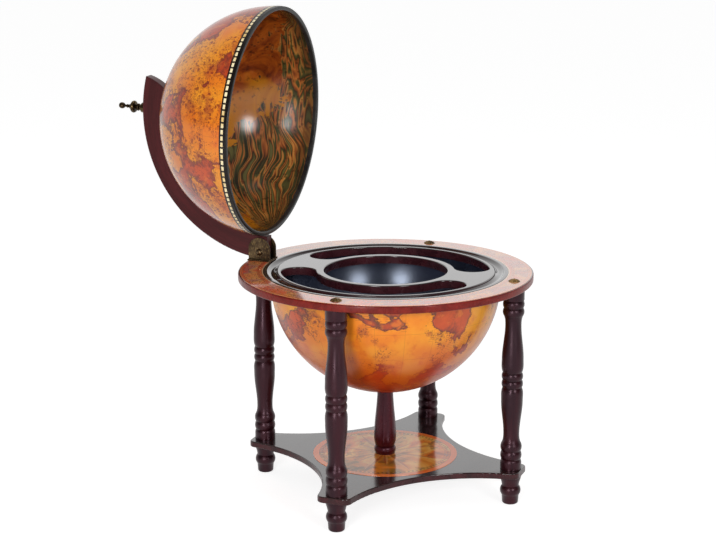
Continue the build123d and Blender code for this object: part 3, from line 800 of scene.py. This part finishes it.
# %% Hills and ink
def crowded(shader, tone, spot, crowd, calm):
    """Hills, dots, strokes and crumbs of ink where the crowd noise rises above calm."""
    sway = shader.vector("MULTIPLY", shader.noise(spot, 20.0, detail=1.0, out=1), (0.05, 0.05, 0.05))
    loose = shader.vector("ADD", spot, sway)
    hills = shader.times(shader.dots(loose, 22.0, 0.36, 0.22), shader.step(crowd, calm, calm + 0.06))
    tone = shader.over(tone, hills, 0.8, rgb(112, 42, 22))
    dots = shader.times(shader.dots(loose, 48.0, 0.34, 0.2),
                        shader.step(crowd, calm - 0.03, calm + 0.02))
    tone = shader.over(tone, dots, 0.65, rgb(74, 32, 24))
    stroke = shader.line(shader.noise(spot, 16.0, detail=3.0), 0.5, 0.014)
    stroke = shader.times(stroke, shader.step(crowd, calm, calm + 0.08))
    tone = shader.over(tone, stroke, 0.55, rgb(92, 42, 28))
    crumb = shader.noise(spot, 30.0, detail=4.0, roughness=0.7)
    crumb = shader.times(shader.step(crumb, 0.55, 0.6), shader.step(crowd, calm - 0.04, calm + 0.04))
    return shader.over(tone, crumb, 0.45, rgb(126, 54, 30))


def antique_map(centre, turn, shift, shore, calm, gloss, redder):
    """Paint for a map on a ball: land is where noise(direction + shift) is above the shore.

    The colour turns darker and redder between the first two heights, as strongly as the third number
    says: on the lower globe a painted shade under its belly.
    """
    red_from, red_to, red_most = redder

    def paint(shader):
        direction = shader.vector("NORMALIZE", shader.placed(centre, turn))
        x, y, z = shader.split(direction)
        spot = shader.vector("ADD", direction, shift)
        height = shader.noise(spot, 1.9, detail=9.0, roughness=0.57, distortion=0.3)
        slow = shader.noise(spot, 2.6, detail=4.0)
        blot = shader.noise(spot, 9.0, detail=5.0, roughness=0.6)
        crowd = shader.noise(spot, 3.4, detail=2.0)
        tone = coasts(shader, height, slow, blot, shore)
        haze = shader.times(shader.step(crowd, 0.5, 0.62), shader.step(blot, 0.42, 0.6))
        tone = shader.over(tone, haze, 0.5, rgb(122, 58, 42))
        tone = engraved(shader, tone, x, y, z, height, shore)
        tone = crowded(shader, tone, spot, crowd, calm)
        # Painted shade: darker and redder towards the second height, strongest under the lower globe;
        # weaker on the upper globe, towards its mouth.
        tone = shader.mix(shader.step(z, red_from, red_to, 0.0, red_most), tone, rgb(184, 50, 6))
        grain = shader.noise(spot, 160.0, detail=2.0)
        return tone, shader.step(crowd, 0.3, 0.7, gloss, gloss + 0.07), grain
    return paint


upper_map = finish("upper_map", antique_map(open_centre, opening, shift=(7.1, 3.3, 0.4), shore=0.53,
                                            calm=0.44, gloss=0.15, redder=(1.2, -0.6, 0.35)),
                   relief=0.000001)
lower_map = finish("lower_map", antique_map(bowl_centre, 0.0, shift=(6.9, 9.5, 0.2), shore=0.555,
                                            calm=0.54, gloss=0.3, redder=(-0.1, -0.95, 0.9)),
                   relief=0.000001)

# %% [markdown]
# Inside the lower globe the shell is sprayed a satin blue-black, which hides drips.
# Spray leaves a fine pebbled skin, so the finish has a little relief and a soft shine.
# One mesh carries the map outside and the spray inside. Each row of faces gets its finish from
# where the middle of its step on the outline lies.

# %% Half globes
def sprayed(shader):
    ground = shader.placed()
    cloud = shader.noise(ground, 18.0, detail=4.0)
    return (shader.mix(shader.step(cloud, 0.3, 0.7), rgb(36, 39, 55), rgb(45, 49, 68)),
            shader.step(cloud, 0.3, 0.7, 0.235, 0.255), shader.noise(ground, 700.0, detail=1.0))


def step_middles(outline):
    """Middle of each step of a closed outline, from one point to the next."""
    return (outline + np.roll(outline, -1, axis=0)) / 2.0


def shell_arc(radius, low, count=100):
    """Arc of a shell in mm above its middle, from a height up to the pole's hole."""
    return arc((0.0, 0.0), radius, lift(low, radius), 90.0 - lift(pole_hole, radius), count)


def bowl_outline():
    """Lower half in mm from its middle: outer arc up from the bolt hole, tongue, inner arc back."""
    outside, inside = (shell_arc(radius, 0.0) * (1.0, -1.0) for radius in (ball, hollow_ball))
    tongue = [(ball, 3.0), (hollow_ball, 3.0)]
    return np.concatenate([outside[::-1], tongue, inside])


def cap_outline(outer, inner, low, count=100):
    """Upper half in mm above its middle: outer arc from a height up to the pole, and back inside."""
    return np.concatenate([shell_arc(outer, low, count=count), shell_arc(inner, low, count=count)[::-1]])


satin_black = finish("satin_black", sprayed, relief=0.00001, Specular_IOR_Level=1.0,
                     Specular_Tint=(0.7, 0.8, 1.0, 1.0))
bowl = bowl_outline()
bowl_rows = np.linalg.norm(step_middles(bowl), axis=1) < hollow_ball + 1.0
piece(grid_mesh("printed_bowl", [spun((bowl + (0.0, bowl_middle)) * mm, 200)], rows=bowl_rows),
      [lower_map, satin_black], "stand", "printed_globe", "lower_globe")
piece(grid_mesh("printed_dome", [swung(spun(shut(cap_outline(ball, hollow_ball, rim_top)), 200))]),
      [upper_map], "globe", "printed_globe", "upper_shell")

# %% [markdown]
# The hollow of the upper globe is painted: warm clouds above, and grasses and palm leaves that
# bend round the wall below. A ramp turns a noise into paint: soft stops for sky and meadow, and
# close ones for the leaves, which become strokes of green, ochre and rust.

# %% Colours of the hollow
sky_tones = [(0.32, rgb(92, 34, 10)), (0.45, rgb(150, 68, 20)), (0.56, rgb(186, 94, 26)),
             (0.68, rgb(200, 112, 44))]
meadow_tones = [(0.35, rgb(186, 106, 14)), (0.52, rgb(206, 132, 20)), (0.66, rgb(172, 82, 22))]
leaf_tones = [(0.32, rgb(50, 42, 22)), (0.39, rgb(84, 82, 42)), (0.42, rgb(196, 116, 54)),
              (0.46, rgb(140, 74, 36)), (0.48, rgb(58, 52, 28)), (0.52, rgb(92, 90, 48)),
              (0.545, rgb(206, 138, 66)), (0.585, rgb(148, 80, 40)), (0.60, rgb(62, 50, 26)),
              (0.66, rgb(110, 104, 56))]
print("tones:", len(sky_tones), len(meadow_tones), len(leaf_tones))

# %% [markdown]
# Long leaves come from a noise that is stretched up and down the wall. The wall is measured by
# how far up a point lies and how far round, so the strokes bend with it.

# %% Painted lining
def round_the_wall(shader, point):
    """Up the wall, -y of the shut globe over 160 mm, and round it in radians, the same both ways."""
    x, y, z = shader.split(point)
    up = shader.times(y, -1.0 / 0.16)
    return up, shader.math("ABSOLUTE", shader.times(shader.polar(z, x)[1], 1.0 / 57.3))


def leaf_edge(shader, up, turn, clouds, leaf):
    """Above 0 where leaves grow: far round the wall, less far up it, with a ragged border."""
    edge = shader.math("SUBTRACT", turn, shader.step(up, 0.2, -0.65, 1.22, 0.35))
    edge = shader.plus(edge, shader.step(clouds, 0.35, 0.65, -0.16, 0.16))
    return shader.plus(edge, shader.step(leaf, 0.3, 0.7, 0.12, -0.12))


def hollow_paint(shader):
    """Sky over meadow, leaves at the sides, a dark band by the lip, then flecks and tufts."""
    point = shader.placed(open_centre, opening)
    x, y, z = shader.split(point)
    up, turn = round_the_wall(shader, point)
    side = shader.step(x, -0.03, 0.03, 4.0, 0.0)
    sway = shader.noise(point, 11.0, detail=2.0)
    bent = shader.plus(turn, shader.step(sway, 0.3, 0.7, -0.09, 0.09))
    sweep = shader.join(bent, shader.times(up, 0.18), side)
    slow = shader.noise(point, 9.0, detail=3.0)
    clouds = shader.noise(point, 20.0, detail=5.0, roughness=0.6, distortion=1.2)
    leaf = shader.noise(sweep, 10.0, detail=2.0, roughness=0.55, distortion=0.3)
    horizon = shader.plus(up, shader.step(slow, 0.3, 0.7, -0.3, 0.3))
    tone = shader.mix(shader.step(horizon, 0.34, 0.2), shader.ramp(clouds, sky_tones),
                      shader.ramp(shader.noise(sweep, 3.0, detail=4.0), meadow_tones))
    tone = shader.mix(shader.step(leaf_edge(shader, up, turn, clouds, leaf), -0.02, 0.03),
                      tone, shader.ramp(leaf, leaf_tones))
    tone = shader.mix(shader.step(z, 0.032, 0.012, 0.0, 0.7), tone, rgb(38, 38, 26))
    fleck = shader.noise(point, 120.0, detail=3.0)
    tone = shader.mix(shader.step(fleck, 0.6, 0.72, 0.0, 0.5), tone, rgb(52, 26, 10))
    tuft = shader.times(shader.dots(point, 130.0, 0.34, 0.2), shader.step(slow, 0.5, 0.58))
    tone = shader.over(tone, tuft, 0.6, rgb(46, 30, 14))
    return tone, shader.step(slow, 0.3, 0.7, 0.18, 0.22), fleck


hollow = finish("painted_hollow", hollow_paint, relief=0.000005, Specular_IOR_Level=0.45)
lining = cap_outline(hollow_ball, hollow_ball - 0.8, lip_top, count=80)
piece(grid_mesh("painted_lining", [swung(spun(shut(lining), 180))]),
      [hollow], "globe", "painted_lining", "upper_lining")

# %% [markdown]
# The upper globe ends in a black rim with a deep lip inside. The rim's edges are blunt, and
# they catch the light as a thin line.
# The painting of the hollow runs over the lip and stops 6.4 mm above the mouth. Both patterns
# are solid ones, so the strokes carry on from the lining to the lip with no seam.

# %% Black rim
paint_edge = 6.4


def on_ball(radius, height):
    """Point of a circle round the globe's middle at a height above it."""
    return math.sqrt(radius**2 - height**2), height


def rim_outline():
    """Section of the rim in mm above the globe's middle: outer band, step, inner lip."""
    lip, blunt, corner = 159.0, 1.6, 0.6
    top, painted = (lift(height, lip) for height in (lip_top - corner, paint_edge))
    return np.concatenate([
        arc((lip + blunt, blunt), blunt, 180.0, 270.0, 9), [(164.4, 0.0), (164.8, 0.12), (ball, corner)],
        arc((0.0, 0.0), ball, 0.5, lift(rim_top, ball), 8), [on_ball(hollow_ball, rim_top)],
        arc((0.0, 0.0), hollow_ball, 2.5, lift(lip_top, hollow_ball), 10), [on_ball(lip + 0.4, lip_top)],
        arc((0.0, 0.0), lip, top, painted, 11), arc((0.0, 0.0), lip, painted, 0.6, 6)[1:]])


def black_lacquer_paint(shader):
    """Black outside, and paler within the lip's radius: a painted sheen on the lip, and a thin painted
    highlight round the inner edge of the mouth.
    """
    ground = shader.placed()
    reach = shader.vector("LENGTH", shader.placed(open_centre, opening), out=1)
    cloud = shader.noise(ground, 40.0, detail=4.0)
    # Painted sheen: the lip is painted paler than the black outside.
    lip = shader.mix(shader.step(cloud, 0.35, 0.65), rgb(30, 29, 29), rgb(44, 43, 42))
    return (shader.mix(shader.step(reach, 159.8 * mm, 160.6 * mm), lip, rgb(18, 14, 12)),
            shader.step(cloud, 0.3, 0.7, 0.24, 0.34), shader.noise(ground, 500.0, detail=2.0))


black_lacquer = finish("black_lacquer", black_lacquer_paint, relief=0.000005, Specular_IOR_Level=0.2)
rim = rim_outline()
rim_steps = step_middles(rim)
rim_rows = (np.linalg.norm(rim_steps, axis=1) < hollow_ball - 0.1) & (rim_steps[:, 1] > paint_edge)
piece(grid_mesh("globe_rim", [swung(spun(shut(rim), 240))], rows=rim_rows, sharp=50.0),
      [black_lacquer, hollow], "globe", "black_lacquer", "upper_rim")

# %% [markdown]
# A paper band of ivory dashes runs round the globe above the rim.
# The dashes are counted by angle: 120 of them, each seven tenths of its share of the circle.

# %% Dashes
def dash_paint(shader):
    """Ivory where a zigzag over 3 degrees is low and the height lies between two lines."""
    share = 360.0 / 120.0
    x, y, z = shader.split(shader.placed(open_centre, opening))
    turn = shader.polar(x, y)[1]
    inside = shader.times(shader.step(shader.math("PINGPONG", turn, share / 2.0), 1.08, 1.0),
                          shader.band(z, 5.3 * mm, 8.6 * mm, 0.25 * mm))
    stain = shader.noise(shader.placed(), 60.0, detail=4.0)
    ivory = shader.mix(shader.step(stain, 0.4, 0.7), rgb(246, 232, 188), rgb(226, 192, 122))
    return shader.mix(inside, rgb(30, 20, 16), ivory), shader.step(stain, 0.3, 0.7, 0.2, 0.32), stain


dashes = finish("dash_paper", dash_paint, relief=0.00001, Specular_IOR_Level=0.35)
paper_ball, band_top = ball + 0.3, 11.2
band_low, band_high = (lift(height, paper_ball) for height in (rim_top, band_top))
band_outline = np.concatenate([arc((0.0, 0.0), paper_ball, band_low, band_high, 6),
                               arc((0.0, 0.0), ball, band_high, band_low, 6)])
piece(grid_mesh("dash_strip", [swung(spun(shut(band_outline), 240))]),
      [dashes], "globe", "dash_paper", "dash_band")

# %% [markdown]
# The ring's paper is laid out like the scale on an old instrument: fine circles, a ladder of
# degrees, and painted fields between posts, with scrollwork over them.
# Such a print is easy in polar measure: circles are radii, ticks are angles, and the scrolls are
# contour lines of a noise.

# %% Ring print
def in_millimetres(shader):
    """Place, radius in mm and angle in degrees round the upright axis."""
    spot = shader.placed()
    x, y, z = shader.split(spot)
    radius, angle = shader.polar(x, y)
    return spot, shader.times(radius, 1.0 / mm), angle


def circles(shader, radius, bold, fine, first, *others):
    """A bold circle at the first radius and fine ones at the others, as a stencil, all in mm."""
    ink = shader.line(radius, first, bold)
    for place in others:
        ink = shader.most(ink, shader.line(radius, place, fine))
    return ink


def ring_ink(shader, radius, angle, fields):
    """Circles, a ladder in steps of a degree, ticks at each 5 degrees and posts at each 30."""
    ink = circles(shader, radius, 0.35, 0.3, 177.4, 179.6, 184.2, 203.4, 205.4)
    ladder = shader.times(shader.step(shader.math("PINGPONG", angle, 1.0), 0.46, 0.54),
                          shader.band(radius, 180.6, 183.2, 0.15))
    posts = shader.times(shader.ruled(angle, 30.0, 0.12), fields)
    ticks = shader.times(shader.ruled(angle, 5.0, 0.1), shader.band(radius, 179.6, 186.5, 0.1))
    return shader.most(shader.most(ink, ladder), shader.most(posts, ticks))


ring_tints = [(0.36, rgb(250, 104, 64)), (0.45, rgb(255, 176, 98)), (0.53, rgb(192, 134, 122)),
              (0.62, rgb(246, 96, 58))]


def ring_paper(shader):
    """Warm paper, tinted fields with scrolls, stains, ink, a paler margin inside, and a paler outer band
    that is a painted highlight along the edge.
    """
    spot, radius, angle = in_millimetres(shader)
    slow = shader.noise(spot, 9.0, detail=4.0)
    blot = shader.noise(spot, 60.0, detail=4.0, roughness=0.6)
    fields = shader.band(radius, 184.5, 203.0, 0.3)
    tone = shader.mix(shader.step(slow, 0.38, 0.62), rgb(255, 146, 82), rgb(250, 108, 64))
    tone = shader.over(tone, fields, 0.75, shader.ramp(shader.noise(spot, 16.0, detail=2.0), ring_tints))
    scroll = shader.line(shader.noise(spot, 95.0, detail=2.0, distortion=0.6), 0.5, 0.035)
    tone = shader.over(tone, shader.times(scroll, fields), 0.5, rgb(96, 50, 28))
    tone = shader.over(tone, shader.step(blot, 0.55, 0.7), 0.35, rgb(120, 60, 34))
    tone = shader.over(tone, ring_ink(shader, radius, angle, fields), 0.75, rgb(62, 30, 20))
    tone = shader.mix(shader.step(radius, 177.2, 176.9, 0.0, 0.8), tone, rgb(248, 204, 158))
    # Painted highlight: a paler band along the outer edge of the paper.
    tone = shader.mix(shader.step(radius, 205.9, 206.3, 0.0, 0.8), tone, rgb(232, 140, 84))
    return tone, shader.step(blot, 0.3, 0.7, 0.08, 0.16), blot


ring_print = finish("ring_paper", ring_paper, relief=0.000005, Coat_Weight=1.0, Coat_Roughness=0.06)
dressed(ring_print, "ring_print")

# %% [markdown]
# The shelf's disc gets a star of sixteen rays in the same manner. A ray is where the radius is
# less than a straight line of the angle, so it narrows evenly to its point, and the sine of
# eight times the angle makes one half of each ray light and the other dark.

# %% Shelf print
shelf_tones = [(0.36, rgb(150, 108, 36)), (0.44, rgb(228, 136, 44)), (0.52, rgb(248, 190, 92)),
               (0.6, rgb(234, 122, 38)), (0.68, rgb(164, 74, 26))]


def ray_star(shader, radius, angle):
    """Eight long rays up to 84 mm and eight short ones up to 60 mm between them, as a stencil."""
    long_ray = shader.times(shader.math("PINGPONG", angle, 22.5), 1.0 / 22.5)
    short_ray = shader.math("SUBTRACT", 1.0, long_ray)
    return shader.most(shader.step(shader.plus(radius, shader.times(long_ray, 150.0)), 84.6, 84.0),
                       shader.step(shader.plus(radius, shader.times(short_ray, 120.0)), 60.6, 60.0))


def shelf_paper(shader):
    """A clouded field with the star, an orange border, and circles with a ladder between them."""
    spot, radius, angle = in_millimetres(shader)
    slow = shader.noise(spot, 11.0, detail=4.0)
    blot = shader.noise(spot, 48.0, detail=4.0, roughness=0.6)
    tone = shader.ramp(shader.noise(spot, 14.0, detail=5.0, distortion=0.6), shelf_tones)
    tone = shader.mix(shader.step(blot, 0.54, 0.64, 0.0, 0.6), tone, rgb(84, 62, 34))
    half = shader.step(shader.math("SINE", shader.times(angle, math.radians(8.0))), -0.03, 0.03)
    rays = shader.mix(half, rgb(226, 160, 92), rgb(150, 60, 34))
    tone = shader.over(tone, ray_star(shader, radius, angle), 0.5, rays)
    border = shader.mix(shader.step(slow, 0.4, 0.6), rgb(244, 132, 58), rgb(236, 116, 48))
    tone = shader.mix(shader.step(radius, 96.2, 96.6), tone, border)
    ink = circles(shader, radius, 0.5, 0.35, 96.0, 94.2, 89.0, 87.4)
    ladder = shader.times(shader.step(shader.math("PINGPONG", angle, 2.0), 0.9, 1.1),
                          shader.band(radius, 90.2, 93.2, 0.15))
    tone = shader.over(tone, shader.most(ink, ladder), 0.7, rgb(84, 42, 26))
    return tone, shader.step(blot, 0.3, 0.7, 0.07, 0.14), blot


shelf_print = finish("shelf_paper", shelf_paper, relief=0.000005, Coat_Weight=0.3, Coat_Roughness=0.14)
dressed(shelf_print, "shelf_print")

# %% [markdown]
# The metal is brass that was darkened with age: brown in patches, rubbed brighter in fine streaks.
# Bolts and washers are zinc-plated steel with fine turning marks. Both are metals, so their
# colour is the colour of what they mirror, and the roughness does most of the work.

# %% Metals
def aged(dark, bright, rough):
    """Paint for old brass from its two tones and its roughness where it is rubbed."""
    def paint(shader):
        point = shader.placed()
        patina = shader.noise(point, 55.0, detail=6.0, roughness=0.65)
        rub = shader.noise(shader.vector("MULTIPLY", point, (1.0, 4.0, 1.0)), 240.0, detail=3.0)
        tone = shader.mix(shader.step(patina, 0.35, 0.68), dark, bright)
        tone = shader.mix(shader.step(rub, 0.5, 0.72, 0.0, 0.35), tone, rgb(186, 156, 102))
        return tone, shader.step(patina, 0.3, 0.7, rough + 0.14, rough), rub
    return paint


def plated(shader):
    point = shader.placed()
    cloud = shader.noise(point, 90.0, detail=4.0)
    marks = shader.noise(shader.vector("MULTIPLY", point, (1.0, 1.0, 12.0)), 300.0, detail=2.0)
    tone = shader.mix(shader.step(cloud, 0.35, 0.65), rgb(150, 152, 156), rgb(186, 186, 184))
    return tone, shader.step(marks, 0.3, 0.7, 0.24, 0.4), marks


bracket_brass = finish("bracket_brass", aged(rgb(52, 41, 32), rgb(86, 70, 52), 0.36),
                       relief=0.00003, Metallic=1.0)
finial_brass = finish("finial_brass", aged(rgb(48, 38, 28), rgb(96, 80, 54), 0.26),
                      relief=0.00002, Metallic=1.0)
cap_brass = finish("cap_brass", aged(rgb(72, 54, 34), rgb(136, 106, 64), 0.26),
                   relief=0.00003, Metallic=1.0)
steel = finish("plated_steel", plated, relief=0.00001, Metallic=1.0)
dressed(bracket_brass, "hinge_bracket", blunt=0.4 * mm)
dressed(bracket_brass, "bracket_screws", "hinge_bolt", "hinge_nut")
dressed(finial_brass, "pole_spacer", "pole_washer", "pole_nut")
dressed(steel, "foot_studs", "column_screw", "ring_bolts", "bowl_washer", "bowl_bolt", "pole_rod")

# %% [markdown]
# Small brass flowers cover the leg bolts. They are pressed from thin sheet: a low dome whose
# petals rise and fall with the angle, h = dome(s) + petal(s) * cos(8 a), round a plain boss.

# %% Flower caps
cap_radius, cap_foot, petals = 8.8, 326.4, 8.0


def flower_cap(place, turns=96, rows=26):
    """Dome of rise 4 mm with eight petals, closed below by a flat disc; s goes from middle to edge."""
    s = np.linspace(0.0, 1.0, rows)[:, None]
    angle = np.linspace(0.0, 2.0 * np.pi, turns, endpoint=False)[None, :]
    petal = np.clip((s - 0.28) / 0.2, 0.0, 1.0) * np.clip((1.0 - s) / 0.18, 0.0, 1.0)
    boss = 0.5 * np.clip(1.0 - (s / 0.26)**2, 0.0, 1.0)
    height = 3.5 * (1.0 - s**2.2) + boss + 0.45 * petal * (np.cos(petals * angle) - 1.0)
    radius = cap_radius * s * (1.0 - 0.035 * s * (1.0 - np.cos(petals * angle)))
    top = np.stack([radius * np.cos(angle), radius * np.sin(angle), height], axis=-1)
    under = np.zeros_like(top[-1:])
    return (np.concatenate([top, under]) + (0.0, 0.0, cap_foot)) * mm + (place[0], place[1], 0.0)


caps = [flower_cap((x * leg_circle, y * leg_circle))
        for name, (x, y) in leg_places.items() if name != "back"]
piece(grid_mesh("flower_caps", caps, along=False, sharp=60.0), [cap_brass],
      "stand", "aged_brass", "ring_caps")

# %% [markdown]
# The finial screws on to the end of the pole rod, outside the bow. It is turned from one brass
# rod: a collar that sits on the bow, a small disc, a large disc, a bead and a ball.

# %% Finial
bow_edge = 533.6
collar = [(0.0, -0.3), (7.4, -0.3), (7.4, 4.6), (7.1, 5.3), (6.2, 5.8), (3.0, 5.8)]
rounds = [(3.0, 5.5, 11.2, 1.9), (3.0, 9.0, 18.8, 3.4), (1.75, 2.75, 29.2, 1.6), (1.9, 4.6, 38.4, 4.3)]
tip = [(1.0, 42.7), (0.8, 43.2), (0.0, 43.4)]


def finial_outline():
    """Half section in mm above the bow's outer edge; a round is neck, crown, middle, half height."""
    rows = [collar]
    for neck, crown, middle, half in rounds:
        rim = max(crown - half, neck)
        rows.append([(neck, middle - half)])
        rows.append(arc((0.0, 0.0), 1.0, -88.0, 88.0, 16) * (crown - rim, half) + (rim, middle))
    return np.concatenate(rows + [tip])


finial_grid = swung(spun((finial_outline() + (0.0, bow_edge)) * mm, 64))
piece(grid_mesh("turned_finial", [finial_grid], along=False), [finial_brass],
      "arm", "aged_brass", "finial")
